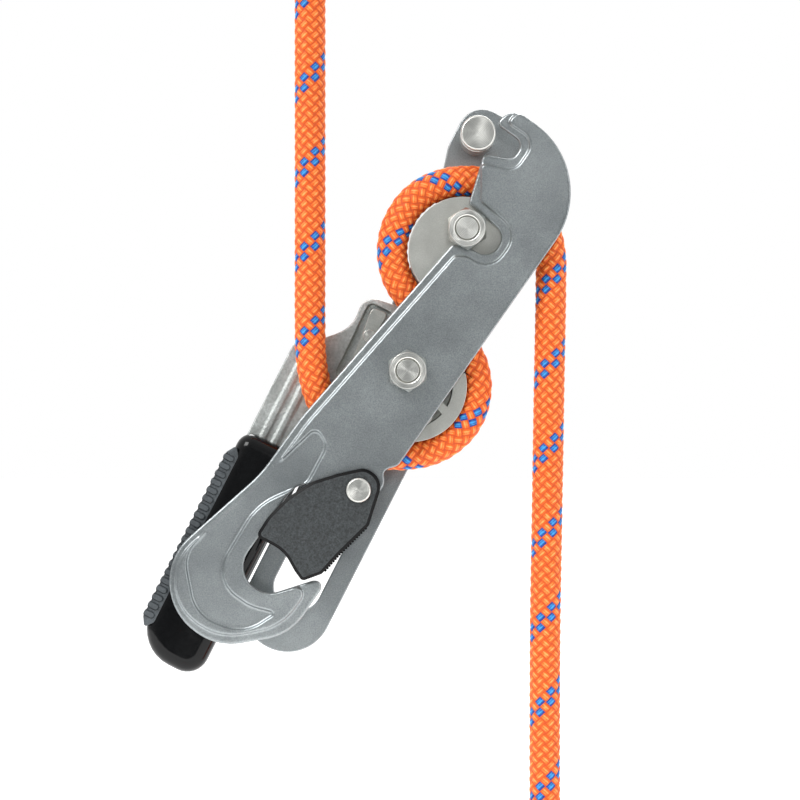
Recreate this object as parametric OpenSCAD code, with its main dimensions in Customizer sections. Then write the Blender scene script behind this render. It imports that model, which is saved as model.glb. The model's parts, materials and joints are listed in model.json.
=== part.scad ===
// Rope descender: an S-wrap rope brake with a fixed bollard, a braking cam, a pull handle,
// a swinging front plate that locks over two studs, and a sprung gate across its hook.
// X is across the device, Y runs from front to back and Z is up along the rope.
// The origin is the centre of the carabiner eye, in the middle of the rope channel.

/* [Body] */
// Lean of the device's long axis from the rope, in degrees
tilt = 27; // [20:0.5:32]
// Distance from the carabiner eye to the lower axle
axle_up = 88; // [84:0.5:100]
// Width of the two side plates
plate_w = 32.6; // [30:0.2:40]
// Thickness of each side plate
plate_t = 4; // [3:0.1:5]
// Clear depth between the side plates
channel = 17; // [16.5:0.1:20]
// How far the front plate stands open at rest, in degrees
ajar = 8; // [4:0.5:12]

/* [Carabiner eye] */
// Width of the eye
eye_w = 17.4; // [14:0.2:19]
// Straight length of the eye, between the centres of its round ends
eye_run = 20; // [12:0.5:24]

/* [Upper bollard] */
// Radius of the fixed bollard
bollard_r = 19.3; // [16:0.1:19.5]
// Height of the upper bolt above the lower axle
bolt_rise = 54.5; // [52:0.5:60]
// Offset of the upper bolt to the left of the axis
bolt_side = 4.2; // [2:0.1:6]
// Radius of the boss that the front plate's notch closes on
boss_r = 5; // [4.8:0.1:6]

/* [Fasteners] */
// Diameter of both bolts
bolt_d = 8; // [6:0.5:8.5]
// Width across flats of both nuts
nut_af = 13.3; // [13:0.1:17]
// Height of both nuts
nut_h = 5.6; // [5:0.1:7]
// Radius of the sleeve that the plate, cam and handle turn on
sleeve_r = 6; // [5.5:0.1:6.4]

/* [Latch pin] */
// Height of the latch pin above the lower axle
latch_rise = 86.5; // [84:0.5:90]
// Offset of the latch pin to the left of the axis
latch_side = 16; // [12:0.5:18]
// Diameter of the latch pin's head and body
latch_d = 12.4; // [10:0.1:13]
// Diameter of the neck that the front plate's notch closes on
neck_d = 6.4; // [5:0.1:7.5]

/* [Cam] */
// Radius of the cam's front rim
cam_r = 20; // [19:0.1:21]
// Radius of the cam at the bottom of its rope groove
groove_r = 16.8; // [15.5:0.1:17.4]
// Distance from the axle to the cam's centre, to the right
cam_side = 3.5; // [2:0.1:4]
// Distance from the axle to the cam's centre, downwards
cam_drop = 4.3; // [3:0.1:5]

/* [Handle] */
// Thickness of the handle's cast flange
flange_t = 3.6; // [2.4:0.1:3.7]
// Width of the grip
grip_w = 28; // [22:0.2:32]
// Length of the grip
grip_l = 88; // [74:0.5:100]
// Thickness of the grip from front to back
grip_t = 19; // [16:0.2:19.4]
// Number of ribs on the grip's pad
ribs = 20; // [12:1:26]

/* [Gate] */
// Thickness of the gate's cover
gate_t = 3.4; // [2.4:0.1:4.5]
// Diameter of the gate's rivet head
rivet_d = 8.8; // [7:0.1:10]

/* [Rope] */
// Diameter of the rope
rope_d = 11; // [9:0.1:11.2]

/* [Fits] */
// Radial clearance of a turning fit
turn_gap = 0.05; // [0.02:0.01:0.1]
// Gap between faces that slide past each other
slide_gap = 0.4; // [0.3:0.05:0.5]

/* [Hidden] */
$fn = 64;

// Levels through the device, from front to back
back = channel / 2;
front = -channel / 2;
plate_face = front - plate_t;
rear_face = back + plate_t;
rope_y = -2;
bollard_face = front + slide_gap + 0.1;
nut_seat = plate_face - slide_gap;
rim_t = 1;
step_t = 1.1;
pocket_d = 1.3;
flange_back = back - slide_gap - 0.1;
flange_face = flange_back - flange_t;
cam_back = flange_face - slide_gap;
gate_back = plate_face - 0.3;
gate_face = gate_back - gate_t;

// Places in the device's own upright frame, as [across, up]
half_w = plate_w / 2;
eye_r = eye_w / 2;
axle = [0, axle_up];
bolt = [-bolt_side, axle_up + bolt_rise];
latch = [-latch_side, axle_up + latch_rise];
bollard_c = [-2, axle_up + 47.2];
bollard_cut = 13.6;
cam_c = axle + [cam_side, -cam_drop];
top = latch.y + 11.5;
bolt_r = bolt_d / 2;
nut_r = nut_af / 2 / cos(30);
notch_gap = 0.3;
notch_r = boss_r + notch_gap;
neck_r = neck_d / 2;
slot_r = neck_r + notch_gap;
gate_pivot = [10, 43.3];
gate_shank = 2.6;
pivot_boss = 6.4;

// The handle: its grip hangs beside the rear plate's left edge
grip_x1 = -half_w - 0.7;
grip_x0 = grip_x1 - grip_w;
grip_top = 43;
grip_z0 = grip_top - grip_l;
grip_y0 = front + 0.4;
grip_y1 = grip_y0 + grip_t;
pad_t = 2.2;
pad_in = 5.2;
rib_h = 0.5;
shell_t = 3;
arm_x0 = grip_x0 + 3.6;
arm_x1 = grip_x1 - 7;
ear_pivot = [-18, axle_up + 5];
ear_r = 5.6;
pocket_t = 2.4;
ridge_t = 0.5;
core_t = 6;
core_y0 = flange_face - core_t;
core_x0 = grip_x0 + pad_in + shell_t + 0.2;
core_x1 = grip_x1 - shell_t - 1;
core_z0 = grip_z0 + 9;
pad_z0 = grip_z0 + 12;
pad_z1 = grip_top - 10;
rib_pitch = (pad_z1 - pad_z0) / ribs;

// Small parts
dowel_r = 2;
washer_t = 1.2;
head_t = 4.4;
coil_r = 8.2;
wire_r = 0.7;
coils = 3;
spring_pit = 4.6;
screw_r = 1.5;
screw_l = 6.4;
rim_in = 3.1;
window_r = groove_r - 2;
window_t = 5;
hook_r = eye_r + 0.3;
hook_low = hook_r - 2.4;

// Rope routes in the hanging frame, as [across, up], both starting at the crossing
rope_r = rope_d / 2;
crossing = [49.9, 96.6];
anchor_route = [
    crossing, [56.6, 90.6], [61.5, 84.6], [64.3, 77], [64.3, 68.8], [61.6, 61], [56.4, 54.8],
    [49.2, 50.4], [41.5, 48.6], [34, 48.5], [26.5, 50.2], [19.5, 54], [13.6, 59.8], [9.2, 67.2],
    [6.5, 75.5], [5.2, 84], [4.9, 95], [4.9, 115], [4.9, 140], [4.9, 165], [4.9, 190], [4.9, 216]
];
brake_route = [
    crossing, [43.2, 102.6], [37.8, 108.8], [34.8, 117], [34.8, 125.8], [37.8, 134], [43.4, 140.8],
    [51, 145], [59.6, 146.6], [68.4, 145.8], [76.8, 142.6], [84, 137], [89, 129.6], [91.2, 120.8],
    [91.4, 110], [91.2, 95], [90.8, 75], [90.4, 50], [89.9, 20], [89.4, -10], [89.2, -45], [89.2, -80]
];
knot_r = 17.5;
knot_h = 36;

// ---- Helpers ----

// Turns a piece from the device's upright frame to the frame it hangs in
module hang() rotate([0, tilt, 0]) children();

// A flat outline drawn in X and Z, given depth from y0 back to y1
module slab(y0, y1) translate([0, y1, 0]) rotate([90, 0, 0]) linear_extrude(y1 - y0) children();

// A round bar or hole along Y at place p
module bar(p, r, y0, y1) slab(y0, y1) translate(p) circle(r);

// A round bar along Y whose radius tapers from r0 at y0 to r1 at y1
module taper(p, r0, r1, y0, y1)
    translate([p.x, y1, p.y]) rotate([90, 0, 0]) cylinder(h = y1 - y0, r1 = r1, r2 = r0);

// Turns a piece of the front plate to where it stands at rest
module at_rest() translate([axle.x, 0, axle.y]) rotate([0, ajar, 0])
    translate([-axle.x, 0, -axle.y]) children();

function unit(v) = v / norm(v);

// The arc that rounds corner b, between a and c, with radius r
function corner(a, b, c, r, steps) = let(
    u = unit(a - b), v = unit(c - b), half = acos(u * v) / 2,
    m = b + unit(u + v) * r / sin(half), p = b + u * r / tan(half), q = b + v * r / tan(half),
    start = atan2(p.y - m.y, p.x - m.x), end = atan2(q.y - m.y, q.x - m.x),
    sweep = (end - start + 540) % 360 - 180
) [for (i = [0:steps]) m + r * [cos(start + sweep * i / steps), sin(start + sweep * i / steps)]];

// An outline through corners given as [across, up, radius]
function rounded(c) = let(n = len(c)) [for (i = [0:n - 1]) let(
    a = c[(i + n - 1) % n], b = c[i], d = c[(i + 1) % n]
) each corner([a.x, a.y], [b.x, b.y], [d.x, d.y], b.z, b.z > 12 ? 16 : 6)];

// A six-sided nut, its front corners chamfered
module nut(p, y0, y1) difference() {
    intersection() {
        slab(y0, y1) translate(p) circle(nut_r, $fn = 6);
        taper(p, nut_af / 2 - 0.2, nut_af / 2 + 1.6, y0, y1);
    }
    bar(p, bolt_r + turn_gap, y0 - 1, y1 + 1);
    taper(p, bolt_r + 0.7, bolt_r + turn_gap, y0 - 0.01, y0 + 0.7);
}

// Points of a ring of the rope's tube at place p, facing along t
function ring(p, t, r, n) = [for (i = [0:n - 1]) let(a = 360 * i / n)
    [p.x + r * cos(a) * t.y, rope_y + r * sin(a), p.y - r * cos(a) * t.x]];

// A tube swept along a flat route
module tube(route, r, n) {
    last = len(route) - 1;
    dirs = [for (i = [0:last]) unit(route[min(i + 1, last)] - route[max(i - 1, 0)])];
    points = [for (i = [0:last]) each ring(route[i], dirs[i], r, n)];
    sides = [for (i = [0:last - 1]) for (j = [0:n - 1]) let(k = (j + 1) % n)
        each [[i * n + j, i * n + k, i * n + n + j], [i * n + k, i * n + n + k, i * n + n + j]]];
    ends = [[for (j = [0:n - 1]) n - 1 - j], [for (j = [0:n - 1]) last * n + j]];
    polyhedron(points, concat(sides, ends));
}

// ---- Frame ----

module eye_outline() {
    circle(eye_r);
    translate([-eye_r, 0]) square([eye_w, eye_run]);
    translate([0, eye_run]) circle(eye_r);
}

module rear_plate() color("#8d9290") hang() difference() {
    slab(back, rear_face) polygon(rounded([
        [-half_w, -24.4, half_w - 0.2], [half_w, -24.4, half_w - 0.2], [half_w, top, 30],
        [latch.x - 8, top, 9], [latch.x - 8, latch.y - 7, 12], [-half_w, bolt.y - 4, 24]
    ]));
    slab(back - 1, rear_face + 1) eye_outline();
    for (p = [axle, bolt]) bar(p, bolt_r + turn_gap, back - 1, rear_face + 1);
    bar(latch, 3 + turn_gap, back - 1, rear_face + 1);
    for (p = dowels()) bar(p, dowel_r + turn_gap, back - 1, rear_face + 1);
}

function dowels() = [bollard_c + [6, -9.5]];

module upper_bollard() color("#b9bab4") hang() difference() {
    union() {
        bar(bollard_c, bollard_r, bollard_face, cam_back);
        intersection() {
            bar(bollard_c, bollard_r, cam_back - 1, back);
            translate([bollard_c.x, 0, bollard_c.y]) rotate([0, 15, 0])
                translate([-30, cam_back - 2, -bollard_cut]) cube([60, channel, 60]);
        }
        bar(bolt, boss_r, nut_seat, bollard_face + 1);
    }
    bar(bolt, bolt_r + turn_gap, nut_seat - 1, back + 1);
    for (p = dowels()) bar(p, dowel_r + turn_gap, back - 8, back + 1);
}

module bollard_dowels() color("#a9aaa8") hang()
    for (p = dowels()) bar(p, dowel_r, back - 7.8, rear_face - 0.2);

module bolt_at(p) {
    bar(p, bolt_r, nut_seat - nut_h + 0.2, rear_face + washer_t);
    taper(p, nut_af / 2, nut_af / 2 - 1, rear_face + washer_t, rear_face + washer_t + head_t);
}
module socket(p) slab(rear_face + washer_t + head_t - 2.4, rear_face + washer_t + head_t + 1)
    translate(p) circle(2.9, $fn = 6);

module upper_bolt() color("#c9c9c4") hang() difference() {
    bolt_at(bolt);
    socket(bolt);
}
module axle_bolt() color("#c9c9c4") hang() difference() {
    bolt_at(axle);
    socket(axle);
}
module upper_nut() color("#c0c0ba") hang() nut(bolt, nut_seat - nut_h, nut_seat);
module axle_nut() color("#c0c0ba") hang() nut(axle, nut_seat - nut_h, nut_seat);

module axle_sleeve() color("#a8a79c") hang() difference() {
    bar(axle, sleeve_r, nut_seat, back);
    bar(axle, bolt_r + turn_gap, nut_seat - 1, back + 1);
}

module bolt_washers() color("#b4b4ae") hang() for (p = [axle, bolt]) difference() {
    bar(p, nut_af / 2 + 1.4, rear_face, rear_face + washer_t);
    bar(p, bolt_r + turn_gap, rear_face - 1, rear_face + washer_t + 1);
}

module latch_pin() color("#c4c5c0") hang() {
    taper(latch, latch_d / 2 - 0.5, latch_d / 2, nut_seat - 3.2, nut_seat - 2.7);
    bar(latch, latch_d / 2, nut_seat - 2.7, nut_seat);
    bar(latch, neck_r, nut_seat, front + slide_gap);
    bar(latch, latch_d / 2, front + slide_gap, back);
    bar(latch, 3, back, rear_face - 0.2);
}

module handle_spring() color("#9aa0a4") hang() {
    for (i = [0:coils - 1]) translate([axle.x, cam_back - spring_pit + 0.9 + i * 1.35, axle.y])
        rotate([90, 0, 0]) rotate_extrude() translate([coil_r, 0]) circle(wire_r, $fn = 16);
}

// ---- Front plate ----

// The plate's outline; e draws its left side, hook and notches in by that much
function plate_corners(e) = [
    [half_w + 0.3, top, 30], [latch.x - 8 + e, top, 6 - 0.9 * e],
    [latch.x - 8.4 + e, latch.y + slot_r + 0.2 + 0.8 * e, 1.4],
    [latch.x + slot_r + e, latch.y + slot_r + e, slot_r + 0.6 * e],
    [latch.x + slot_r + e, latch.y - slot_r - e, slot_r + 0.6 * e],
    [latch.x - 6 + 0.4 * e, latch.y - 8 - e, 1.4], [-16.4 + e, bolt.y + 6.8 + e, 1.4],
    [bolt.x + notch_r + e, bolt.y + notch_r + e, notch_r + 0.7 * e],
    [bolt.x + notch_r + e, bolt.y - notch_r - e, notch_r + 0.7 * e],
    [bolt.x - 4.6 + 0.9 * e, bolt.y - 6.2 - e, 2.5], [-12.8 + e, bolt.y - 8.6 - e, 1.2],
    [-21.6 + e, 52, 60], [-21.9 + e, 28, 50], [-36.2 + e, -31.6 + e, 21.8 - 1.2 * e],
    [1 - 0.4 * e, -31.6 + e, 21],
    [19.6 - 1.3 * e, -13 + 0.4 * e, 20], [19.4 - 1.3 * e, 13 - 2 * e, 2.4],
    [4.6, -hook_low, hook_r], [-9.6, -hook_low, hook_r], [-9.6, gate_pivot.y - pivot_boss - 0.8, 9],
    [gate_pivot.x + pivot_boss, gate_pivot.y - pivot_boss, 6.2],
    [gate_pivot.x + pivot_boss, gate_pivot.y + 7.4, 4.6], [gate_pivot.x + 3, gate_pivot.y + 10.4, 2],
    [half_w + 0.3, gate_pivot.y + 15, 4]
];

module pocket_outline() polygon(rounded([
    [-15.4, 53, 2.6], [-8, 50, 5], [-6.2, 35, 6], [-16.4, 18, 24], [-14.2, -12.8, 11],
    [2, -12.6, 12], [11.4, -9.2, 1], [6, -22.4, 14], [-12, -26.8, 14], [-28.2, -11, 12],
    [-22.6, 16, 40]
]));

module front_plate() color("#85898a") hang() at_rest() difference() {
    union() {
        slab(plate_face + step_t, front) polygon(rounded(plate_corners(0)));
        slab(plate_face, plate_face + step_t + 0.2) polygon(rounded(plate_corners(rim_in)));
    }
    slab(plate_face - 1, plate_face + pocket_d) pocket_outline();
    bar(axle, sleeve_r + turn_gap, plate_face - 1, front + 1);
    bar(gate_pivot, gate_shank + turn_gap, plate_face - 1, front + 1);
}

module gate_rivet() color("#d6d7d4") hang() at_rest() {
    taper(gate_pivot, rivet_d / 2 - 0.5, rivet_d / 2, gate_face - 1.3, gate_face - 0.8);
    bar(gate_pivot, rivet_d / 2, gate_face - 0.8, gate_face - 0.1);
    bar(gate_pivot, gate_shank, gate_face - 0.1, front - 0.2);
}

module gate_spring() color("#9aa0a4") hang() at_rest() {
    for (i = [0:1]) translate([gate_pivot.x, gate_back - 0.6 - i * 0.9, gate_pivot.y])
        rotate([90, 0, 0]) rotate_extrude() translate([3.6, 0]) circle(0.4, $fn = 16);
}

// ---- Gate ----

function gate_corners() = [
    [14.9, 52.2, 6.4], [20.2, 35.2, 1.8], [17.4, 20, 12], [16.4, 11.6, 2.2], [12.1, 5.4, 1.6],
    [8, 6.8, 4], [0.6, 10.4, 14], [-10.5, 9, 2], [-10.9, 17, 20], [-9.3, 26, 20],
    [-5.6, 35.8, 20], [0.4, 43.6, 20], [7, 50.8, 5]
];
module gate() color("#3b4043") hang() at_rest() difference() {
    slab(gate_face, gate_back) polygon(rounded(gate_corners()));
    bar(gate_pivot, gate_shank + turn_gap, gate_face - 1, gate_back + 1);
    bar(gate_pivot, 4.4, gate_back - 2.2, gate_back + 1);
}

module gate_liner() color("#2a2c2e") hang() at_rest()
    slab(gate_back, front - 0.4) polygon(rounded([
        [15.4, 22, 3], [14.6, 12, 1.4], [12.2, 8.8, 1.2], [9, 9.4, 1.4], [5.6, 13, 3], [9, 27, 3]
    ]));

// ---- Cam ----

module cam() color("#a9aba6") hang() difference() {
    union() {
        bar(cam_c, cam_r, bollard_face, bollard_face + rim_t);
        bar(cam_c, groove_r, bollard_face + rim_t, cam_back);
    }
    bar(axle, sleeve_r + turn_gap, bollard_face - 1, cam_back + 1);
    difference() {
        bar(cam_c, window_r, bollard_face - 1, bollard_face + window_t);
        bar(axle, sleeve_r + 2.6, bollard_face - 2, bollard_face + window_t + 1);
        for (a = [20, 140, 260]) translate([axle.x, 0, axle.y]) rotate([0, a, 0])
            translate([0, bollard_face - 2, -1.6]) cube([40, window_t + 3, 3.2]);
        for (p = cam_screws()) bar(p, 3.2, bollard_face - 2, bollard_face + window_t + 1);
    }
    difference() {
        bar(axle, coil_r + 1.2, cam_back - spring_pit, cam_back + 1);
        bar(axle, sleeve_r + 1, cam_back - spring_pit - 1, cam_back + 2);
    }
    for (p = cam_screws())
        bar(p, screw_r + turn_gap, bollard_face - 1, bollard_face + screw_l + 0.6);
}
function cam_screws() = [for (a = [80, 200, 320]) cam_c + 11.6 * [cos(a), sin(a)]];
module cam_cover_screws() color("#b0b2b0") hang() for (p = cam_screws())
    bar(p, screw_r, bollard_face + 0.4, bollard_face + 0.4 + screw_l);

// ---- Handle ----

module lever() color("#a6aaa6") hang() difference() {
    union() {
        bar(axle, 17, flange_face, flange_back);
        slab(flange_face, flange_back) polygon(rounded([
            [-13, axle.y + 19.6, 4], [-26.6, axle.y + 17.6, ear_r], [-25, axle.y + 5, 12],
            [-33, axle.y - 3.6, 6], [arm_x0, axle.y - 8, 6], [arm_x0, grip_top - 4, 1],
            [arm_x1, grip_top - 4, 1], [arm_x1 + 0.5, 62, 8], [0, axle.y - 18, 4], [6, axle.y, 4]
        ]));
        slab(flange_face, rear_face - 0.4) polygon(rounded([
            [arm_x0 + 1.6, axle.y - 16, 3], [arm_x0 + 1.6, grip_top - 6, 1],
            [arm_x1 - 2, grip_top - 6, 1], [arm_x1 - 2, axle.y - 26, 6]
        ]));
        for (x = [arm_x0 + 4.6, arm_x0 + 9.4]) slab(flange_face - ridge_t, flange_face + 1)
            polygon(rounded([[x, axle.y - 14, 0.8], [x, grip_top - 4, 0.3],
                [x + 2, grip_top - 4, 0.3], [x + 2, axle.y - 14, 0.8]]));
    }
    bar(axle, sleeve_r + turn_gap, flange_face - 2, flange_back + 1);
    slab(flange_face - 2, flange_face + pocket_t) polygon(rounded([
        [-14, axle.y + 16.2, 1.6], [-23.6, axle.y + 16.2, 2.2], [-22.8, axle.y - 15, 2],
        [-14.6, axle.y - 10, 3]
    ]));
    bar(ear_pivot, 1.5 + turn_gap, flange_face - 2, flange_back + 1);
}

module pawl() color("#bcc0ba") hang() difference() {
    slab(flange_face + 0.2, flange_face + pocket_t - 0.2) polygon(rounded([
        [-15.8, axle.y + 15.4, 1.4], [-22, axle.y + 14.8, 2], [-19.4, axle.y - 7, 1.4],
        [-16.2, axle.y - 8, 1.3]
    ]));
    bar(ear_pivot, 1.5 + turn_gap, flange_face - 2, flange_back + 1);
}

module pawl_rivet() color("#cfd1cc") hang() {
    bar(ear_pivot, 2.4, flange_face - 0.5, flange_face + 0.15);
    bar(ear_pivot, 1.5, flange_face + 0.15, flange_back - 0.2);
}

module grip_core() color("#9fa3a0") hang() difference() {
    slab(core_y0, flange_face) polygon(rounded([
        [core_x0, core_z0, 5], [core_x1, core_z0, 5], [core_x1, grip_top - 4, 2], [core_x0, grip_top - 4, 2]
    ]));
    for (p = grip_holes()) bar(p, 1.6 + turn_gap, grip_y0, grip_y1);
}
function grip_holes() = [for (z = [core_z0 + 8, grip_top - 14]) [(core_x0 + core_x1) / 2, z]];

module pad_outline() polygon(rounded([
    [grip_x0 + rib_h, pad_z0, 0.6], [grip_x0 + pad_t + 0.4, pad_z0 - 3.4, 0.8],
    [grip_x0 + pad_in, pad_z0, 2], [grip_x0 + pad_in, pad_z1, 2],
    [grip_x0 + pad_t + 0.4, pad_z1 + 3.4, 0.8], [grip_x0 + rib_h, pad_z1, 0.6]
]));

module grip_shell() color("#1b1c1e") hang() difference() {
    slab(grip_y0, grip_y1) polygon(rounded([
        [grip_x0 + pad_t, grip_z0, 14], [grip_x1, grip_z0, 8], [grip_x1, grip_top, 1],
        [grip_x0 + pad_t, grip_top, 3]
    ]));
    slab(core_y0, flange_face) polygon(rounded([
        [core_x0, core_z0, 5], [core_x1, core_z0, 5], [core_x1, grip_top - 4, 2], [core_x0, grip_top - 4, 2]
    ]));
    slab(flange_face - 1.2, rear_face - 0.2) translate([arm_x0 - 0.2, grip_top - 7])
        square([arm_x1 - arm_x0 + 0.4, 8]);
    slab(grip_y0 - 1, grip_y1 + 1) pad_outline();
    for (p = grip_holes()) {
        bar(p, 1.6 + turn_gap, flange_face - 1, grip_y1 + 1);
        bar(p, 3.1, grip_y1 - 2.2, grip_y1 + 1);
    }
}

module grip_pad() color("#565b5e") hang() {
    slab(grip_y0 + rib_h, grip_y1 - rib_h) pad_outline();
    for (i = [0:ribs - 1]) let(z = pad_z0 + rib_pitch * (i + 0.5), r = rib_pitch * 0.34)
        slab(grip_y0 + 0.1, grip_y1 - 0.1) {
            translate([grip_x0 + r, z]) circle(r, $fn = 24);
            translate([grip_x0 + r, z - r]) square([pad_in - 1 - 2 * r, 2 * r]);
            translate([grip_x0 + pad_in - 1 - r, z]) circle(r, $fn = 24);
        }
}

module grip_screws() color("#7c8082") hang() for (p = grip_holes()) difference() {
    union() {
        bar(p, 1.6, core_y0, grip_y1 - 2.2);
        bar(p, 3, grip_y1 - 2.2, grip_y1 - 0.4);
    }
    slab(grip_y1 - 1.6, grip_y1) translate(p) circle(1.4, $fn = 6);
}

// ---- Rope ----

module rope_anchor_side() color("#ee5a1c") tube(anchor_route, rope_r, 12);
module rope_brake_side() color("#ee5a1c") tube(brake_route, rope_r, 12);

// A closed solid that a barrel knot fills, its ends rounded
module knot(z0) translate([0, rope_y, z0]) rotate_extrude($fn = 24) polygon(rounded([
    [0, 0, 0.01], [knot_r, 0, 5], [knot_r, knot_h, 5], [0, knot_h, 0.01]
]));
module anchor_knot() color("#ee5a1c") translate([4.9, 0, 0]) knot(216);
module stopper_knot() color("#ee5a1c") translate([89.2, 0, 0]) knot(-80 - knot_h);

rear_plate();
upper_bollard();
upper_bolt();
upper_nut();
bollard_dowels();
latch_pin();
axle_bolt();
axle_sleeve();
axle_nut();
bolt_washers();
handle_spring();
front_plate();
gate_rivet();
gate_spring();
gate();
gate_liner();
cam();
cam_cover_screws();
lever();
pawl();
pawl_rivet();
grip_core();
grip_shell();
grip_pad();
grip_screws();
rope_anchor_side();
rope_brake_side();
anchor_knot();
stopper_knot();
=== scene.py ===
"""Rope descender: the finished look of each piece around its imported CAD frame."""

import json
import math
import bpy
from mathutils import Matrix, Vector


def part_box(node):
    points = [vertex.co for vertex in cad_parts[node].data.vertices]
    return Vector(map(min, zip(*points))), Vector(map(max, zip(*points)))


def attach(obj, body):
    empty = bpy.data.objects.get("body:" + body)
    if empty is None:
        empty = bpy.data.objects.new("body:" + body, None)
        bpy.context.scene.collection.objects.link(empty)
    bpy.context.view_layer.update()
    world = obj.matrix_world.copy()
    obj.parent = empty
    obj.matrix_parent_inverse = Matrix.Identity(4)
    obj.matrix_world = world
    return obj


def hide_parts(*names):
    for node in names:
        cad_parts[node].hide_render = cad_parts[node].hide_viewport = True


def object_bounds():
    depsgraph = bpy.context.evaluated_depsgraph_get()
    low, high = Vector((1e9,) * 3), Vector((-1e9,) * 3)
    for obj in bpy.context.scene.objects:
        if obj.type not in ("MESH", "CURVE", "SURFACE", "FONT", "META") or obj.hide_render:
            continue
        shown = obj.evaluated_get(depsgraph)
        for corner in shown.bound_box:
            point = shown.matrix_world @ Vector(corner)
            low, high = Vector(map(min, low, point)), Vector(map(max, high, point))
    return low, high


bl_info = {
    "name": "Rope descender",
    "version": (1, 0, 0),
    "blender": (4, 5, 0),
    "location": "View3D > Sidebar > Descender",
    "description": "Finishes the plates, bollards, handle, gate and rope of a rope descender",
    "category": "Object",
}

import bmesh
import bpy
from bpy.props import FloatProperty, IntProperty, PointerProperty, StringProperty
from mathutils import Matrix, Vector

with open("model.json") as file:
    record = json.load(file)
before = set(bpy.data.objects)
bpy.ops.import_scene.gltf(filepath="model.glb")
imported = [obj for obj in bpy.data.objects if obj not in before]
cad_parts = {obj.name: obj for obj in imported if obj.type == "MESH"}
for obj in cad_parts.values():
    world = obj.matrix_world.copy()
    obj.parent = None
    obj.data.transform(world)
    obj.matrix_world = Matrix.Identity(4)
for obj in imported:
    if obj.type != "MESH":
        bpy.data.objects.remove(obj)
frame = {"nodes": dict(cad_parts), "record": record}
CAD_BOX = [list(corner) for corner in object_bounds()]
BODY_OF = {n: b for b, names in frame["record"]["behaviour"]["bodies"].items() for n in names}

MM = 0.001
TILT = math.radians(27)
AJAR = math.radians(8)
AXLE_UP = 88 * MM
AXLE = Vector((math.sin(TILT), 0, math.cos(TILT))) * AXLE_UP

# The grip's box and the gate's toothed edge, across and up from the upright plate's foot
GRIP_LEFT, GRIP_RIGHT, GRIP_FOOT, GRIP_TOP = -42.8 * MM, -17.0 * MM, -45 * MM, 43 * MM
TOOTHED_EDGE = [(19.9, 33.6), (17.5, 20.4), (16.7, 13.2)]
TOOTH_PITCH, TOOTH_RADIUS, TOOTH_SETBACK = 1.1 * MM, 0.45 * MM, 1.1 * MM

# The rope's two routes, as [across, up] in millimetres, both starting at the crossing
ROPE_DEPTH = -2
ANCHOR_ROUTE = [
    (49.9, 96.6), (56.6, 90.6), (61.5, 84.6), (64.3, 77), (64.3, 68.8), (61.6, 61), (56.4, 54.8),
    (49.2, 50.4), (41.5, 48.6), (34, 48.5), (26.5, 50.2), (19.5, 54), (13.6, 59.8), (9.2, 67.2),
    (6.5, 75.5), (5.2, 84), (4.9, 95), (4.9, 115), (4.9, 140), (4.9, 165), (4.9, 190), (4.9, 216),
]
BRAKE_ROUTE = [
    (49.9, 96.6), (43.2, 102.6), (37.8, 108.8), (34.8, 117), (34.8, 125.8), (37.8, 134),
    (43.4, 140.8), (51, 145), (59.6, 146.6), (68.4, 145.8), (76.8, 142.6), (84, 137), (89, 129.6),
    (91.2, 120.8), (91.4, 110), (91.2, 95), (90.8, 75), (90.4, 50), (89.9, 20), (89.4, -10),
    (89.2, -45), (89.2, -80),
]

# Rise of the knots' coil in each turn, in rope diameters
COIL_PITCH = 1.04

# Yarns in each plait of the rope's sheath
YARNS = 3


def linear(code):
    """The linear colour of an sRGB hex value."""
    parts = [int(code.lstrip("#")[i:i + 2], 16) / 255 for i in (0, 2, 4)]
    return [p / 12.92 if p <= 0.04045 else ((p + 0.055) / 1.055) ** 2.4 for p in parts] + [1]


class DescenderRope(bpy.types.PropertyGroup):
    """Sizes and colours of the rope."""

    diameter: FloatProperty(name="Diameter", description="Outer diameter of the rope",
                            default=0.011, unit="LENGTH", min=0.009, max=0.0112)
    plaits: IntProperty(name="Plaits", description="Plaits of each hand round the sheath",
                        default=8, min=6, max=16)
    plait_rise: FloatProperty(name="Plait rise", description="Rope length of one woven diamond",
                              default=0.00378, unit="LENGTH", min=0.002, max=0.005)
    relief: FloatProperty(name="Relief", description="Height of the plaits over the valleys",
                          default=0.00045, unit="LENGTH", min=0, max=0.001)
    sheath: StringProperty(name="Sheath", description="Hex colour of the sheath's plaits",
                           default="#f2680e")
    # The tracer colour is the light top of the tracer's ramp, a painted highlight on its crests
    tracer: StringProperty(name="Tracer", description="Hex colour of the tracer", default="#38a4ec")


class DescenderMetal(bpy.types.PropertyGroup):
    """Edge sizes and colours of the metal parts."""

    edge: FloatProperty(name="Edge", description="Radius of machined edges",
                        default=0.0003, unit="LENGTH", min=0.0001, max=0.001)
    grain: FloatProperty(name="Grain", description="Cell size of the forged pieces' skin",
                         default=0.00044, unit="LENGTH", min=0.0003, max=0.001)
    plate: StringProperty(name="Plate", description="Hex colour of the anodised plates",
                          default="#b1b7b8")
    cast: StringProperty(name="Cast", description="Hex colour of the cast handle",
                         default="#d2d6d4")
    steel: StringProperty(name="Steel", description="Hex colour of the stainless parts",
                          default="#cccdc7")


class DescenderGrip(bpy.types.PropertyGroup):
    """Sizes and colours of the grip and gate."""

    round: FloatProperty(name="Round", description="Radius of the grip's long edges",
                         default=0.0052, unit="LENGTH", min=0.001, max=0.0055)
    rim: FloatProperty(name="Rim", description="Width of the gate's sloping rim",
                       default=0.0011, unit="LENGTH", min=0.0005, max=0.003)
    black: StringProperty(name="Black", description="Hex colour of the glossy grip",
                          default="#0e0f10")
    pad: StringProperty(name="Pad", description="Hex colour of the ribbed pad", default="#565c60")
    gate: StringProperty(name="Gate", description="Hex colour of the gate's face",
                         default="#444a4c")


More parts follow.
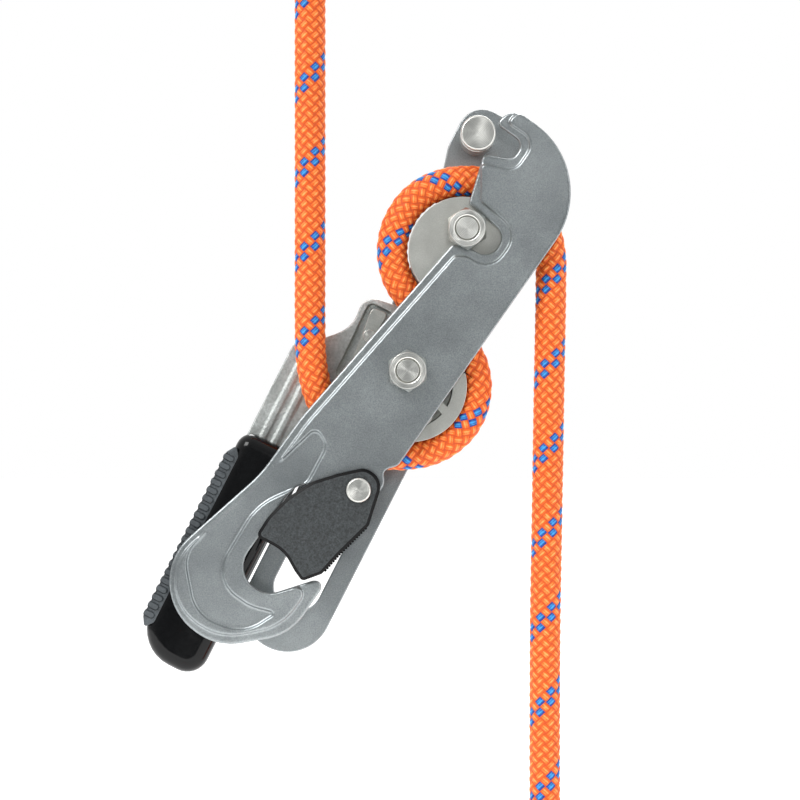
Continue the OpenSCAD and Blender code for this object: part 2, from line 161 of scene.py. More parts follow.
class DescenderStage(bpy.types.PropertyGroup):
    """The camera's distance and the width of its view."""

    distance: FloatProperty(name="Distance", description="Camera to the rope channel",
                            default=1.0, unit="LENGTH", min=0.5, max=3)
    span: FloatProperty(name="Span", description="Width of the view at the rope channel",
                        default=0.288, unit="LENGTH", min=0.2, max=0.6)


# ---- Mesh helpers ----

def piece_from(name, mesh, body, *nodes):
    """Puts a finished mesh in the scene on its body, standing for CAD nodes."""
    piece = bpy.data.objects.new(name, mesh)
    bpy.context.scene.collection.objects.link(piece)
    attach(piece, body)
    if nodes:
        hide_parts(*nodes)
    return piece


def merged_copy(node):
    """A bmesh of a CAD node's surface with its triangles joined into flat faces."""
    bm = bmesh.new()
    bm.from_mesh(frame["nodes"][node].data)
    bmesh.ops.remove_doubles(bm, verts=bm.verts, dist=2e-6)
    bmesh.ops.dissolve_limit(bm, angle_limit=math.radians(0.5), verts=bm.verts, edges=bm.edges)
    return bm


def mesh_from(bm, name, smooth_angle=35):
    """Finishes a bmesh as a mesh whose gentle edges are smooth."""
    mesh = bpy.data.meshes.new(name)
    bm.to_mesh(mesh)
    bm.free()
    mesh.shade_smooth()
    mesh.set_sharp_from_angle(angle=math.radians(smooth_angle))
    return mesh


def softened(node, material, width, segments=2, angle=30, share=None):
    """A CAD node's own shape with its edges broken, in its finish. share gives an edge's part
    of the width from its two ends."""
    bm = merged_copy(node)
    weight = bm.edges.layers.float.new("bevel_weight_edge")
    for edge in bm.edges:
        if len(edge.link_faces) == 2 and edge.calc_face_angle(0) > math.radians(angle):
            edge[weight] = share(*edge.verts) if share else 1.0
    mesh = mesh_from(bm, node + "_finish")
    mesh.materials.append(material)
    piece = piece_from(node + "_finish", mesh, BODY_OF[node], node)
    break_edges(piece, width, segments)
    return piece


def forged(node, material, cell, passes):
    """A CAD node's own shape with every edge and inner corner rounded over, as on a forging."""
    bm = bmesh.new()
    bm.from_mesh(frame["nodes"][node].data)
    bmesh.ops.remove_doubles(bm, verts=bm.verts, dist=2e-6)
    rough = piece_from(node + "_rough", mesh_from(bm, node + "_rough"), BODY_OF[node])
    skin = rough.modifiers.new("skin", "REMESH")
    skin.mode = "VOXEL"
    skin.voxel_size = cell
    wash = rough.modifiers.new("wash", "SMOOTH")
    wash.factor = 0.5
    wash.iterations = passes
    mesh = bpy.data.meshes.new_from_object(
        rough.evaluated_get(bpy.context.evaluated_depsgraph_get()))
    mesh.name = node + "_finish"
    bpy.data.objects.remove(rough)
    mesh.shade_smooth()
    mesh.materials.clear()
    mesh.materials.append(material)
    return piece_from(node + "_finish", mesh, BODY_OF[node], node)


def break_edges(piece, width, segments):
    """Rounds the weighted edges of a piece and keeps its flat faces flat."""
    bevel = piece.modifiers.new("broken_edges", "BEVEL")
    bevel.width = width
    bevel.segments = segments
    bevel.limit_method = "WEIGHT"
    bevel.use_clamp_overlap = False
    bevel.harden_normals = True


# ---- Materials ----

def add_node(tree, kind, sockets=None, **settings):
    """Adds one node with its settings; a socket given as a value links to it."""
    made = tree.nodes.new(kind)
    for key, value in settings.items():
        setattr(made, key, value)
    for key, value in (sockets or {}).items():
        if isinstance(value, bpy.types.NodeSocket):
            tree.links.new(value, made.inputs[key])
        else:
            made.inputs[key].default_value = value
    return made


def finish(name, color, roughness, metallic=0.0, **constants):
    """A new material: its node tree, its shader and its object coordinates."""
    made = bpy.data.materials.new(name)
    made.use_nodes = True
    tree = made.node_tree
    shader = tree.nodes["Principled BSDF"]
    shader.inputs["Base Color"].default_value = linear(color)
    shader.inputs["Roughness"].default_value = roughness
    shader.inputs["Metallic"].default_value = metallic
    for key, value in constants.items():
        shader.inputs[key.replace("_", " ")].default_value = value
    place = add_node(tree, "ShaderNodeTexCoord")
    return made, tree, shader, place.outputs["Object"]


def grain(tree, shader, place, grit_mm, height_mm, tones, rough, spread_mm=14):
    """Grit of one size as bump, with cloudy colour between two tones and uneven gloss."""
    cloud = add_node(tree, "ShaderNodeTexNoise",
                     {"Vector": place, "Scale": 1000 / spread_mm, "Detail": 4, "Roughness": 0.6})
    grit = add_node(tree, "ShaderNodeTexNoise",
                    {"Vector": place, "Scale": 1000 / grit_mm, "Detail": 2, "Roughness": 0.7})
    blend = add_node(tree, "ShaderNodeMath", {0: cloud.outputs["Fac"], 1: grit.outputs["Fac"]},
                     operation="MULTIPLY_ADD")
    blend.inputs[2].default_value = 0.1
    ramp = add_node(tree, "ShaderNodeValToRGB", {"Fac": blend.outputs[0]})
    ramp.color_ramp.elements[0].position = 0.2
    ramp.color_ramp.elements[1].position = 0.55
    ramp.color_ramp.elements[0].color = linear(tones[0])
    ramp.color_ramp.elements[1].color = linear(tones[1])
    tree.links.new(ramp.outputs["Color"], shader.inputs["Base Color"])
    gloss = add_node(tree, "ShaderNodeMapRange",
                     {"Value": blend.outputs[0], "From Min": 0.2, "From Max": 0.6,
                      "To Min": rough[0], "To Max": rough[1]})
    tree.links.new(gloss.outputs["Result"], shader.inputs["Roughness"])
    bump = add_node(tree, "ShaderNodeBump",
                    {"Height": grit.outputs["Fac"], "Distance": height_mm * MM, "Strength": 1.0})
    tree.links.new(bump.outputs["Normal"], shader.inputs["Normal"])
    return grit


def blasted_anodised():
    """Bead-blasted, grey-anodised aluminium: even satin with a very fine sparkle."""
    tone = bpy.context.scene.descender_metal.plate
    made, tree, shader, place = finish("blasted anodised aluminium", tone, 0.36, 0.85)
    # Real blast pits are about 0.1 mm; drawn at 0.45 mm so that they show
    grain(tree, shader, place, 0.45, 0.035, ("#7f8486", tone), (0.3, 0.42), 30)
    return made


def tumbled_casting():
    """Tumbled aluminium casting: a coarse, dull, pebbled skin."""
    tone = bpy.context.scene.descender_metal.cast
    made, tree, shader, place = finish("tumbled aluminium casting", tone, 0.5, 0.7)
    grain(tree, shader, place, 0.8, 0.16, ("#9a9e9b", tone), (0.38, 0.55), 9)
    return made


def blasted_stainless():
    """Blasted stainless steel: pale, soft and slightly warm."""
    tone = bpy.context.scene.descender_metal.steel
    made, tree, shader, place = finish("blasted stainless steel", tone, 0.42, 0.8)
    grain(tree, shader, place, 0.5, 0.02, ("#b3b3ad", tone), (0.36, 0.48), 9)
    return made


def wiped_strip():
    """Bright, wiped aluminium strip, smoother than the casting round it."""
    made, tree, shader, place = finish("wiped aluminium strip", "#c2c6c0", 0.4, 0.8)
    grain(tree, shader, place, 0.6, 0.03, ("#a9ada8", "#c8ccc6"), (0.36, 0.5), 6)
    return made


def turned_steel(name, centre, tones=("#c4c4be", "#e2e2dd")):
    """Lathe-turned steel: rings round the centre, which spread highlights into fans."""
    made, tree, shader, place = finish(name, tones[1], 0.28, 0.9, Anisotropic=0.85)
    arm = add_node(tree, "ShaderNodeVectorMath", {0: place, 1: centre}, operation="SUBTRACT")
    flat = add_node(tree, "ShaderNodeVectorMath", {0: arm.outputs[0], 1: (1, 0, 1)},
                    operation="MULTIPLY")
    around = add_node(tree, "ShaderNodeVectorMath", {0: flat.outputs[0], 1: (0, 1, 0)},
                      operation="CROSS_PRODUCT")
    line = add_node(tree, "ShaderNodeVectorMath", {0: around.outputs[0]}, operation="NORMALIZE")
    tree.links.new(line.outputs[0], shader.inputs["Tangent"])
    far = add_node(tree, "ShaderNodeVectorMath", {0: flat.outputs[0]}, operation="LENGTH")
    # Tool marks are about 0.1 mm apart; drawn at 0.5 mm so that they show
    rings = add_node(tree, "ShaderNodeMath",
                     {0: far.outputs["Value"], 1: 2 * math.pi / (0.5 * MM)}, operation="MULTIPLY")
    wave = add_node(tree, "ShaderNodeMath", {0: rings.outputs[0]}, operation="SINE")
    mix = add_node(tree, "ShaderNodeMapRange",
                   {"Value": wave.outputs[0], "From Min": -1, "From Max": 1})
    ramp = add_node(tree, "ShaderNodeValToRGB", {"Fac": mix.outputs["Result"]})
    ramp.color_ramp.elements[0].color = linear(tones[0])
    ramp.color_ramp.elements[1].color = linear(tones[1])
    tree.links.new(ramp.outputs["Color"], shader.inputs["Base Color"])
    return made


def drawn_wire():
    """Drawn spring wire: smooth and dark."""
    made, tree, shader, place = finish("drawn spring wire", "#9aa0a4", 0.3, 1.0)
    grain(tree, shader, place, 0.4, 0.01, ("#82888c", "#9aa0a4"), (0.25, 0.4))
    return made


def glossy_moulding():
    """Moulded ABS from a polished tool: deep black with a soft mirror."""
    tone = bpy.context.scene.descender_grip.black
    made, tree, shader, place = finish("glossy moulded ABS", tone, 0.12, 0.0,
                                       Specular_IOR_Level=0.25)
    grain(tree, shader, place, 1.6, 0.006, ("#070708", tone), (0.08, 0.18), 20)
    return made


def ribbed_rubber():
    """Soft moulded rubber: grey, matt, a little dusty on the crests."""
    tone = bpy.context.scene.descender_grip.pad
    made, tree, shader, place = finish("soft grey rubber", tone, 0.55, 0.0, IOR=1.52)
    grain(tree, shader, place, 0.5, 0.02, ("#33373a", tone), (0.45, 0.65), 5)
    return made


def grained_nylon():
    """Moulded glass-filled nylon with an etched leather grain."""
    tone = bpy.context.scene.descender_grip.gate
    made, tree, shader, place = finish("grained nylon", tone, 0.5, 0.0, IOR=1.53)
    grain(tree, shader, place, 0.6, 0.22, ("#08090a", tone), (0.42, 0.6), 1.1)
    return made


def nylon_rim():
    """The same nylon off a polished part of the tool: nearly black and smoother."""
    made, tree, shader, place = finish("smooth nylon rim", "#0c0d0e", 0.4, 0.0,
                                       Specular_IOR_Level=0.15)
    grain(tree, shader, place, 0.8, 0.01, ("#060607", "#0c0d0e"), (0.34, 0.44))
    return made


def braided_polyester():
    """Braided polyester sheath: plaits over and under, with two tracer plaits of one hand.
    The UV map counts plaits round the rope and diamonds along it."""
    rope = bpy.context.scene.descender_rope
    made, tree, shader, _ = finish("braided polyester", rope.sheath, 0.62, 0.0,
                                   Sheen_Weight=0.08, Sheen_Roughness=0.4)
    uv = add_node(tree, "ShaderNodeUVMap", uv_map="plaits")
    split = add_node(tree, "ShaderNodeSeparateXYZ", {"Vector": uv.outputs["UV"]})
    right = add_node(tree, "ShaderNodeMath", {0: split.outputs["X"], 1: split.outputs["Y"]},
                     operation="ADD")
    left = add_node(tree, "ShaderNodeMath", {0: split.outputs["X"], 1: split.outputs["Y"]},
                    operation="SUBTRACT")
    i = add_node(tree, "ShaderNodeMath", {0: right.outputs[0]}, operation="FLOOR")
    j = add_node(tree, "ShaderNodeMath", {0: left.outputs[0]}, operation="FLOOR")
    both = add_node(tree, "ShaderNodeMath", {0: i.outputs[0], 1: j.outputs[0]}, operation="ADD")
    half = add_node(tree, "ShaderNodeMath", {0: both.outputs[0], 1: 2.0},
                    operation="FLOORED_MODULO")
    on_top = add_node(tree, "ShaderNodeMath", {0: half.outputs[0], 1: 0.5}, operation="LESS_THAN")
    hand = add_node(tree, "ShaderNodeMath", {0: j.outputs[0], 1: float(rope.plaits)},
                    operation="FLOORED_MODULO")
    pair = add_node(tree, "ShaderNodeMath", {0: hand.outputs[0], 1: 1.5}, operation="LESS_THAN")
    traced = add_node(tree, "ShaderNodeMath", {0: on_top.outputs[0], 1: pair.outputs[0]},
                      operation="MULTIPLY")
    across = add_node(tree, "ShaderNodeMix", {"Factor": on_top.outputs[0],
                                              "A": right.outputs[0], "B": left.outputs[0]})
    along = add_node(tree, "ShaderNodeMix", {"Factor": on_top.outputs[0],
                                             "A": left.outputs[0], "B": right.outputs[0]})
    # Painted shade: each plait is coloured dark in its furrows and at the ends where it dives
    # under, where shade falls
    humps = []
    for way in (across, along):
        part = add_node(tree, "ShaderNodeMath", {0: way.outputs["Result"]}, operation="FRACT")
        turn = add_node(tree, "ShaderNodeMath", {0: part.outputs[0], 1: math.pi},
                        operation="MULTIPLY")
        humps.append(add_node(tree, "ShaderNodeMath", {0: turn.outputs[0]}, operation="SINE"))
    dive = add_node(tree, "ShaderNodeMath", {0: humps[1].outputs[0], 1: 0.35, 2: 0.65},
                    operation="MULTIPLY_ADD")
    crest = add_node(tree, "ShaderNodeMath", {0: humps[0].outputs[0], 1: dive.outputs[0]},
                     operation="MULTIPLY")
    high = add_node(tree, "ShaderNodeMath", {0: crest.outputs[0], 1: 1.3}, operation="POWER")
    # The neighbours close over a plait's two sides, which leaves its middle in sight
    middle = add_node(tree, "ShaderNodeMath", {0: humps[0].outputs[0], 1: 0.12},
                      operation="GREATER_THAN")
    tracer = add_node(tree, "ShaderNodeMath", {0: traced.outputs[0], 1: middle.outputs[0]},
                      operation="MULTIPLY")
    # Yarns run along the plait on top; the furrows between them are painted darker, as shade
    yarn = add_node(tree, "ShaderNodeMath", {0: across.outputs["Result"], 1: 2 * math.pi * YARNS},
                    operation="MULTIPLY")
    furrow = add_node(tree, "ShaderNodeMath", {0: yarn.outputs[0]}, operation="SINE")
    fray = add_node(tree, "ShaderNodeTexNoise", {"Vector": uv.outputs["UV"], "Scale": 3.2,
                                                 "Detail": 5, "Roughness": 0.75})
    yarns = add_node(tree, "ShaderNodeMath", {0: furrow.outputs[0], 1: 0.14,
                                              2: fray.outputs["Fac"]}, operation="MULTIPLY_ADD")
    shade = add_node(tree, "ShaderNodeMath", {0: yarns.outputs[0], 1: high.outputs[0]},
                     operation="MULTIPLY")
    # Painted shade and highlight on the sheath: its ramp runs from a dark orange in the furrows and
    # dives, through the sheath's own orange, to a pale stop on the crests
    sheath = add_node(tree, "ShaderNodeValToRGB", {"Fac": shade.outputs[0]})
    for stop, code in zip(sheath.color_ramp.elements, ("#cc4a06", rope.sheath)):
        stop.color = linear(code)
    sheath.color_ramp.elements[0].position = 0.06
    sheath.color_ramp.elements[1].position = 0.3
    # Painted highlight: the pale stop lights the crests of the plaits
    pale = sheath.color_ramp.elements.new(0.62)
    pale.color = linear("#ffab5c")
    # Painted shade and highlight on the tracer: its ramp runs from dark navy in the furrows and
    # dives to the light tracer colour, a painted highlight on the crests
    blue = add_node(tree, "ShaderNodeValToRGB", {"Fac": shade.outputs[0]})
    for stop, code in zip(blue.color_ramp.elements, ("#0a3388", rope.tracer)):
        stop.color = linear(code)
    blue.color_ramp.elements[0].position = 0.16
    blue.color_ramp.elements[1].position = 0.6
    colour = add_node(tree, "ShaderNodeMix", {"Factor": tracer.outputs[0]}, data_type="RGBA")
    tree.links.new(sheath.outputs["Color"], colour.inputs[6])
    tree.links.new(blue.outputs["Color"], colour.inputs[7])
    tree.links.new(colour.outputs[2], shader.inputs["Base Color"])
    bump = add_node(tree, "ShaderNodeBump",
                    {"Height": shade.outputs[0], "Distance": 0.25 * MM, "Strength": 0.7})
    tree.links.new(bump.outputs["Normal"], shader.inputs["Normal"])
    return made


# ---- Rope ----

def smooth_line(route, step):
    """Evenly spaced points on one smooth curve through a flat route, in metres."""
    data = bpy.data.curves.new("guide", "CURVE")
    data.dimensions = "3D"
    data.resolution_u = 24
    spline = data.splines.new("BEZIER")
    spline.bezier_points.add(len(route) - 1)
    for point, (x, z) in zip(spline.bezier_points, route):
        point.co = (x * MM, ROPE_DEPTH * MM, z * MM)
        point.handle_left_type = point.handle_right_type = "AUTO"
    guide = bpy.data.objects.new("guide", data)
    bpy.context.scene.collection.objects.link(guide)
    mesh = bpy.data.meshes.new_from_object(guide)
    dense = [v.co.copy() for v in mesh.vertices]
    bpy.data.objects.remove(guide)
    bpy.data.curves.remove(data)
    bpy.data.meshes.remove(mesh)
    return even_points(dense, step)


def even_points(dense, step):
    """Points a fixed step apart along a dense line, its two ends kept."""
    runs = [0.0]
    for a, b in zip(dense, dense[1:]):
        runs.append(runs[-1] + (b - a).length)
    count = max(8, round(runs[-1] / step))
    points, k = [], 0
    for n in range(count + 1):
        want = runs[-1] * n / count
        while k < len(runs) - 2 and runs[k + 1] < want:
            k += 1
        part = (want - runs[k]) / max(runs[k + 1] - runs[k], 1e-9)
        points.append(dense[k].lerp(dense[k + 1], min(max(part, 0), 1)))
    return points


def length_of(points):
    """The length of a line of points."""
    return sum((b - a).length for a, b in zip(points, points[1:]))


def braid_height(a, b):
    """How high the braid stands at a plait count and a diamond count, from 0 to 1."""
    right, left = a + b, a - b
    u, v = right % 1, left % 1
    over = (math.floor(right) + math.floor(left)) % 2 == 0
    along, across = (u, v) if over else (v, u)
    return math.sin(math.pi * across) * (0.55 + 0.45 * math.sin(math.pi * along) ** 0.6)


def braided_mesh(name, points, start=0.0, forward=1, taper_start=False, taper_end=False):
    """A rope's surface along a line of points, its braid raised and its ends closed."""
    rope = bpy.context.scene.descender_rope
    rise, plaits = rope.plait_rise, rope.plaits
    around = plaits * 10
    rings = len(points)
    step = length_of(points) / (rings - 1)
    bm = bmesh.new()
    bmesh.ops.create_grid(bm, x_segments=around, y_segments=rings - 1, size=0.5)
    uv_layer = bm.loops.layers.uv.new("plaits")
    side = (points[1] - points[0]).cross(Vector((0, 1, 0))).normalized()
    frames = []
    for n, point in enumerate(points):
        ahead = (points[min(n + 1, rings - 1)] - points[max(n - 1, 0)]).normalized()
        side = (side - ahead * side.dot(ahead)).normalized()
        frames.append((point, side, side.cross(ahead)))
    counts = {}
    for vert in bm.verts:
        turn = vert.co.x + 0.5
        n = round((vert.co.y + 0.5) * (rings - 1))
        a = turn * plaits
        b = (start + forward * n * step) / rise
        counts[vert] = (a, b)
        centre, out, depth = frames[n]
        radius = rope.diameter / 2 - rope.relief * (0.75 - braid_height(a * forward, b))
        near = min(n if taper_start else rings, rings - 1 - n if taper_end else rings) * step
        if near < rope.diameter / 4:
            radius *= math.sqrt(max(0.02, 1 - (1 - near / (rope.diameter / 4)) ** 2))
        angle = 2 * math.pi * turn
        vert.co = centre + (out * math.cos(angle) - depth * math.sin(angle)) * radius
    for face in bm.faces:
        for loop in face.loops:
            a, b = counts[loop.vert]
            loop[uv_layer].uv = (a * forward, b)
    bmesh.ops.remove_doubles(bm, verts=bm.verts, dist=1e-6)
    rims = [e for e in bm.edges if e.is_boundary]
    bmesh.ops.holes_fill(bm, edges=rims, sides=0)
    bmesh.ops.recalc_face_normals(bm, faces=bm.faces)
    return mesh_from(bm, name, 75)


def rope_strand(name, route, node, forward):
    """One strand of the rope, from the crossing to its knot."""
    rope = bpy.context.scene.descender_rope
    line = smooth_line(route, rope.plait_rise / 8)
    mesh = braided_mesh(name, line, 0.0, forward)
    mesh.materials.append(bpy.data.materials["braided polyester"])
    piece = piece_from(name, mesh, "frame", node)
    return piece, line


class DESCENDER_OT_rope(bpy.types.Operator):
    """Make the two strands of rope and the knots at their ends"""

    bl_idname = "descender.rope"
    bl_label = "Rope"

    def execute(self, context):
        braided_polyester()
        strands = (
            ("rope_anchor_strand", ANCHOR_ROUTE, "rope_anchor_side", -1, "anchor_knot", 1, "taut"),
            ("rope_brake_strand", BRAKE_ROUTE, "rope_brake_side", 1, "stopper_knot", -1, "hanging"),
        )
        for name, route, node, forward, knot_node, up, lay in strands:
            piece, line = rope_strand(name, route, node, forward)
            knot = barrel_knot(knot_node + "_finish", line[-1], up, knot_node)
        return {"FINISHED"}


def barrel_knot(name, end, up, node):
    """A barrel knot: the rope's straight core with its tail wound round it, in one mesh."""
    rope = bpy.context.scene.descender_rope
    low, high = (Vector(c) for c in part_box(node))
    height = high.z - low.z
    thick = rope.diameter
    wind = (high.x - low.x) / 2 - thick / 2
    step = rope.plait_rise / 6
    core = even_points([end, end + Vector((0, 0, up * (height - 0.5 * MM)))], step)
    turns = (height - thick * 1.05) / (thick * COIL_PITCH)
    coil = [end + Vector((wind * math.cos(2 * math.pi * t), wind * math.sin(2 * math.pi * t),
                          up * thick * COIL_PITCH * (0.5 + t)))
            for t in (turns * k / 240 for k in range(241))]
    bm = bmesh.new()
    bm.loops.layers.uv.new("plaits")
    for part in (braided_mesh("core", core, taper_end=True),
                 braided_mesh("coil", even_points(coil, step), taper_start=True, taper_end=True)):
        bm.from_mesh(part)
        bpy.data.meshes.remove(part)
    mesh = mesh_from(bm, name, 75)
    mesh.materials.append(bpy.data.materials["braided polyester"])
    return piece_from(name, mesh, "frame", node)


# ---- Metal ----

class DESCENDER_OT_plates(bpy.types.Operator):
    """Finish the front and rear plates"""

    bl_idname = "descender.plates"
    bl_label = "Plates"

    def execute(self, context):
        metal = blasted_anodised()
        edge = context.scene.descender_metal.edge
        forged("front_plate", metal, context.scene.descender_metal.grain, 4)
        softened("rear_plate", metal, edge * 1.5, 3, 40)
        return {"FINISHED"}


class DESCENDER_OT_bollards(bpy.types.Operator):
    """Finish the fixed bollard and the cam"""

    bl_idname = "descender.bollards"
    bl_label = "Bollard and cam"

    def execute(self, context):
        edge = context.scene.descender_metal.edge
        steel = blasted_stainless()
        softened("upper_bollard", steel, edge)
        softened("cam", steel, edge)
        return {"FINISHED"}


def centre_of(node):
    """The middle of a CAD node's box."""
    low, high = (Vector(c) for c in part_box(node))
    return (low + high) / 2


class DESCENDER_OT_fasteners(bpy.types.Operator):
    """Finish the bolts, nuts, washers, pins, rivets, screws and springs"""

    bl_idname = "descender.fasteners"
    bl_label = "Fasteners"

    def execute(self, context):
        edge = context.scene.descender_metal.edge
        for node in ("upper_bolt", "upper_nut", "axle_bolt", "axle_nut", "latch_pin",
                     "gate_rivet", "axle_sleeve", "pawl_rivet"):
            centre = centre_of(node)
            softened(node, turned_steel("turned steel " + node, centre), edge * 0.7)
        plain = turned_steel("turned steel small parts", AXLE, ("#9b9c98", "#b9bab5"))
        for node in ("bolt_washers", "bollard_dowels", "cam_cover_screws", "grip_screws"):
            softened(node, plain, edge * 0.5)
        wire = drawn_wire()
        for node in ("handle_spring", "gate_spring"):
            softened(node, wire, edge * 0.2, 1, 60)
        return {"FINISHED"}


class DESCENDER_OT_handle(bpy.types.Operator):
    """Finish the cast handle, its pawl and its grip"""

    bl_idname = "descender.handle"
    bl_label = "Handle"

    def execute(self, context):
        edge = context.scene.descender_metal.edge
        cast = tumbled_casting()
        forged("lever", cast, context.scene.descender_metal.grain, 3)
        softened("grip_core", cast, edge)
        softened("pawl", wiped_strip(), edge)
        softened("grip_pad", ribbed_rubber(), edge * 1.6, 3)
        grip_shell(glossy_moulding())
        return {"FINISHED"}


def grip_shell(material):
    """The grip's moulded shell: its outline drawn out through the depth, then rounded over."""
    grip = bpy.context.scene.descender_grip
    low, high = (Vector(c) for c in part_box("grip_shell"))
    bm = bmesh.new()
    corners = [(GRIP_LEFT, GRIP_FOOT, 14), (GRIP_RIGHT, GRIP_FOOT, 8),
               (GRIP_RIGHT, GRIP_TOP, 5.6), (GRIP_LEFT, GRIP_TOP, 5.6)]
    verts = [bm.verts.new((x, low.y, z)) for x, z, _ in corners]
    bm.faces.new(verts)
    for vert, (_, _, radius) in zip(verts, corners):
        bmesh.ops.bevel(bm, geom=[vert], offset=radius * MM, segments=8, profile=0.5,
                        affect="VERTICES", material=-1)
    drawn = bmesh.ops.extrude_face_region(bm, geom=bm.faces[:])
    back = [v for v in drawn["geom"] if isinstance(v, bmesh.types.BMVert)]
    bmesh.ops.translate(bm, verts=back, vec=(0, high.y - low.y, 0))
    rims = [e for e in bm.edges if abs(e.verts[0].co.y - e.verts[1].co.y) < 1e-7]
    bmesh.ops.bevel(bm, geom=rims, offset=grip.round, segments=7, profile=0.5,
                    affect="EDGES", material=-1, clamp_overlap=False)
    bmesh.ops.recalc_face_normals(bm, faces=bm.faces)
    bmesh.ops.rotate(bm, verts=bm.verts, cent=(0, 0, 0), matrix=Matrix.Rotation(TILT, 3, "Y"))
    mesh = mesh_from(bm, "grip_shell_finish", 40)
    mesh.materials.append(material)
    return piece_from("grip_shell_finish", mesh, BODY_OF["grip_shell"], "grip_shell")


class DESCENDER_OT_gate(bpy.types.Operator):
    """Finish the gate with its sloping rim and grained face"""

    bl_idname = "descender.gate"
    bl_label = "Gate"

    def execute(self, context):
        grip = context.scene.descender_grip
        face_finish, rim_finish = grained_nylon(), nylon_rim()
        bm = merged_copy("gate")
        front = min(v.co.y for v in bm.verts)
        faces = [f for f in bm.faces
                 if f.normal.y < -0.9 and f.calc_center_median().y < front + 1e-4]
        for face in bm.faces:
            face.material_index = 1
        bmesh.ops.inset_region(bm, faces=faces, thickness=grip.rim, depth=0, use_even_offset=True)
        inner = {v for f in faces for v in f.verts}
        for vert in bm.verts:
            if abs(vert.co.y - front) < 1e-5 and vert not in inner:
                vert.co.y += grip.rim * 0.7
        for face in faces:
            face.material_index = 0
        gate_teeth(bm, front)
        mesh = mesh_from(bm, "gate_finish", 25)
        mesh.materials.append(face_finish)
        mesh.materials.append(rim_finish)
        piece_from("gate_finish", mesh, "gate", "gate")
        softened("gate_liner", rim_finish, 0.4 * MM)
        return {"FINISHED"}


def gate_teeth(bm, front):
    """Fine upright ribs along the gate's lower right edge, for the thumb."""
    _, high = (Vector(c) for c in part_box("gate"))
    run = [Vector((x, 0, z)) * MM for x, z in TOOTHED_EDGE]
    pivot = Vector((0, 0, AXLE_UP))
    turn, lean = Matrix.Rotation(AJAR, 4, "Y"), Matrix.Rotation(TILT, 4, "Y")
    for spot in even_points(run, TOOTH_PITCH):
        spot = lean @ (pivot + turn @ (spot - pivot))
        spot.y = (front + TOOTH_SETBACK + high.y) / 2
        made = bmesh.ops.create_cone(bm, cap_ends=True, segments=10, radius1=TOOTH_RADIUS,
                                     radius2=TOOTH_RADIUS, depth=high.y - front - TOOTH_SETBACK)
        bmesh.ops.rotate(bm, verts=made["verts"], cent=(0, 0, 0),
                         matrix=Matrix.Rotation(math.radians(90), 3, "X"))
        bmesh.ops.translate(bm, verts=made["verts"], vec=spot)
        for face in {f for v in made["verts"] for f in v.link_faces}:
            face.material_index = 1


# ---- Stage ----

def soft_light(name, place, target, size, watts, tone="#ffffff"):
    """One square softbox that faces its target."""
    lamp = bpy.data.lights.new(name, "AREA")
    lamp.shape = "RECTANGLE"
    lamp.size, lamp.size_y = size
    lamp.energy = watts
    lamp.color = linear(tone)[:3]
    made = bpy.data.objects.new(name, lamp)
    bpy.context.scene.collection.objects.link(made)
    made.location = place
    made.rotation_euler = (Vector(target) - Vector(place)).to_track_quat("-Z", "Y").to_euler()


def studio_world():
    """White seen directly; a dim front and brighter top and back for the metal to reflect."""
    world = bpy.data.worlds.new("studio")
    world.use_nodes = True
    tree = world.node_tree
    tree.nodes.clear()
    way = add_node(tree, "ShaderNodeTexCoord")
    split = add_node(tree, "ShaderNodeSeparateXYZ", {"Vector": way.outputs["Generated"]})
    rise = add_node(tree, "ShaderNodeMath", {0: split.outputs["Z"], 1: 0.3, 2: 0.5},
                    operation="MULTIPLY_ADD")
    depth = add_node(tree, "ShaderNodeMath", {0: split.outputs["Y"], 1: 0.3, 2: rise.outputs[0]},
                     operation="MULTIPLY_ADD")
    room = add_node(tree, "ShaderNodeValToRGB", {"Fac": depth.outputs[0]})
    room.color_ramp.elements[0].position = 0.15
    room.color_ramp.elements[1].position = 0.8
    room.color_ramp.elements[0].color = linear("#6c7072")
    room.color_ramp.elements[1].color = linear("#ffffff")
    dim = add_node(tree, "ShaderNodeBackground", {"Color": room.outputs["Color"], "Strength": 1.0})
    plain = add_node(tree, "ShaderNodeBackground", {"Color": linear("#ffffff"), "Strength": 1.0})
    seen = add_node(tree, "ShaderNodeLightPath")
    both = add_node(tree, "ShaderNodeMixShader", {0: seen.outputs["Is Camera Ray"],
                                                  1: dim.outputs[0], 2: plain.outputs[0]})
    add_node(tree, "ShaderNodeOutputWorld", {"Surface": both.outputs[0]})
    bpy.context.scene.world = world


class DESCENDER_OT_camera(bpy.types.Operator):
    """Place the camera"""

    bl_idname = "descender.camera"
    bl_label = "Camera"

    def execute(self, context):
        stage = context.scene.descender_stage
        lens = bpy.data.cameras.new("camera")
        lens.sensor_width = 36
        lens.lens = 36 * stage.distance / stage.span
        lens.clip_end = 20
        made = bpy.data.objects.new("camera", lens)
        context.scene.collection.objects.link(made)
        made.location = (37.2 * MM, -stage.distance, 68 * MM)
        made.rotation_euler = (math.radians(90), 0, 0)
        context.scene.camera = made
        return {"FINISHED"}


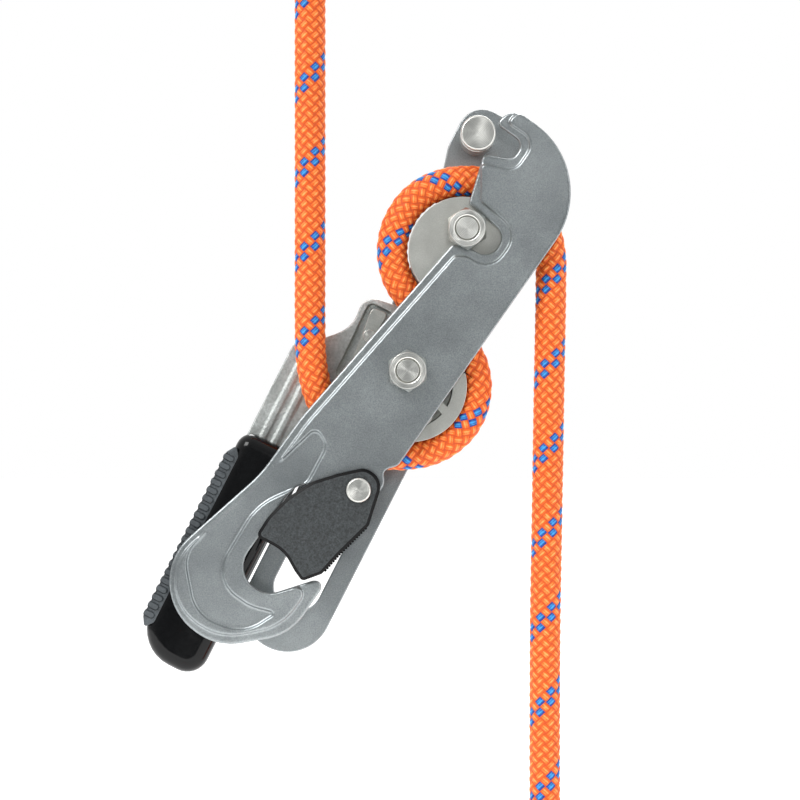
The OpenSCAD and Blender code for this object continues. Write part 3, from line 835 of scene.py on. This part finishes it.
class DESCENDER_OT_stage(bpy.types.Operator):
    """Make the pale floor and the studio light"""

    bl_idname = "descender.stage"
    bl_label = "Stage"

    def execute(self, context):
        white = bpy.data.materials.new("matt white paper")
        white.use_nodes = True
        shader = white.node_tree.nodes["Principled BSDF"]
        shader.inputs["Base Color"].default_value = linear("#fbfbfb")
        shader.inputs["Roughness"].default_value = 0.9
        shader.inputs["Emission Color"].default_value = linear("#ffffff")
        shader.inputs["Emission Strength"].default_value = 0.35
        bm = bmesh.new()
        bmesh.ops.create_grid(bm, x_segments=1, y_segments=1, size=3)
        # It ends in front of the object, so that front faces don't reflect it
        bmesh.ops.translate(bm, verts=bm.verts, vec=(0, 2.6, CAD_BOX[0][2] - 4 * MM))
        floor = bpy.data.objects.new("floor", mesh_from(bm, "floor"))
        floor.data.materials.append(white)
        context.scene.collection.objects.link(floor)
        studio_world()
        target = (0.03, 0, 0.06)
        soft_light("key", (-0.7, -0.8, 0.9), target, (0.6, 0.6), 13)
        soft_light("fill", (0.9, -0.7, 0.2), target, (0.4, 0.9), 3.5)
        soft_light("back", (0.2, 0.9, 0.9), target, (0.8, 0.5), 8)
        # Two small cards where the hook and the top reflect them; their backs are not drawn
        soft_light("hook card", (-0.054, -0.6, -0.041), (-0.02, 0, 0), (0.08, 0.1), 0.075)
        soft_light("top card", (0.122, -0.6, 0.215), (0.09, 0, 0.16), (0.09, 0.09), 0.09)
        context.scene.view_settings.view_transform = "Standard"
        return {"FINISHED"}


class DESCENDER_PT_panel(bpy.types.Panel):
    """Lists the steps that make the descender"""

    bl_label = "Rope descender"
    bl_idname = "DESCENDER_PT_panel"
    bl_space_type = "VIEW_3D"
    bl_region_type = "UI"
    bl_category = "Descender"

    def draw(self, context):
        for step in STEPS:
            self.layout.operator(step.bl_idname)


GROUPS = {"descender_rope": DescenderRope, "descender_metal": DescenderMetal,
          "descender_grip": DescenderGrip, "descender_stage": DescenderStage}
STEPS = (DESCENDER_OT_camera, DESCENDER_OT_rope, DESCENDER_OT_plates, DESCENDER_OT_bollards,
         DESCENDER_OT_fasteners, DESCENDER_OT_handle, DESCENDER_OT_gate, DESCENDER_OT_stage)


def register():
    for group in GROUPS.values():
        bpy.utils.register_class(group)
    for name, group in GROUPS.items():
        setattr(bpy.types.Scene, name, PointerProperty(type=group))
    for step in STEPS:
        bpy.utils.register_class(step)
    bpy.utils.register_class(DESCENDER_PT_panel)


def unregister():
    bpy.utils.unregister_class(DESCENDER_PT_panel)
    for step in reversed(STEPS):
        bpy.utils.unregister_class(step)
    for name, group in GROUPS.items():
        delattr(bpy.types.Scene, name)
        bpy.utils.unregister_class(group)


def main():
    """Makes every piece in order."""
    register()
    for step in STEPS:
        family, action = step.bl_idname.split(".")
        getattr(getattr(bpy.ops, family), action)()


if __name__ == "__main__":
    main()
